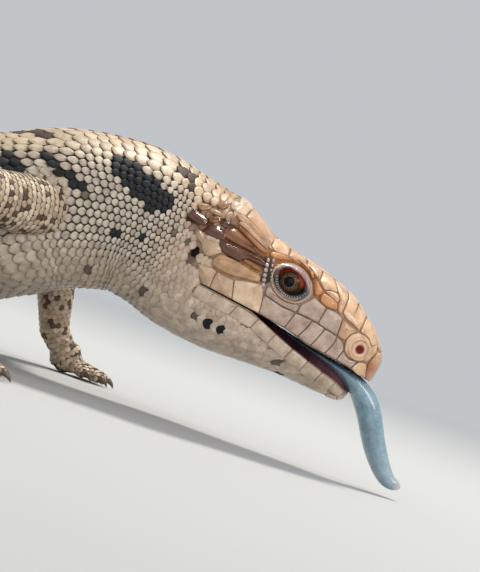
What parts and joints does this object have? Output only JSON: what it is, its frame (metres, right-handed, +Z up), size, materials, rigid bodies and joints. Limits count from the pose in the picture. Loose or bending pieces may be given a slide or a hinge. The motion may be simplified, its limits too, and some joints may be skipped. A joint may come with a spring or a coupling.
{
  "type": "blue tongued skink",
  "caption": "Life-size still lizard with its forebody raised, head low and tongue out, resting on belly, feet and tail.",
  "frame": {"origin": "under the middle of the whole animal, on the floor it rests on", "axes": "+X the way the head looks, +Y the animal's left side, +Z up"},
  "size_m": [0.4816, 0.1716, 0.0696],
  "materials": {
    "head_skin": "glossy head shields, tan and cream",
    "body_skin": "satin scales, cream and dark bands",
    "leg_skin": "satin scales, brown and cream",
    "eye": "wet gloss",
    "tongue": "wet gloss, steel blue"
  },
  "bodies": {
    "root": {"head": "head_skin", "lower_jaw": "head_skin", "tongue": "tongue", "eye_right": "eye", "eye_left": "eye", "neck": "body_skin", "torso_front": "body_skin", "torso_middle": "body_skin", "torso_rear": "body_skin", "hips": "body_skin", "tail_base": "body_skin", "tail_middle": "body_skin", "tail_end": "body_skin", "foreleg_right_upper": "leg_skin", "foreleg_right_lower": "leg_skin", "foreleg_right_foot": "leg_skin", "foreleg_left_upper": "leg_skin", "foreleg_left_lower": "leg_skin", "foreleg_left_foot": "leg_skin", "hindleg_right_upper": "leg_skin", "hindleg_right_lower": "leg_skin", "hindleg_right_foot": "leg_skin", "hindleg_left_upper": "leg_skin", "hindleg_left_lower": "leg_skin", "hindleg_left_foot": "leg_skin"}
  },
  "joints": []
}
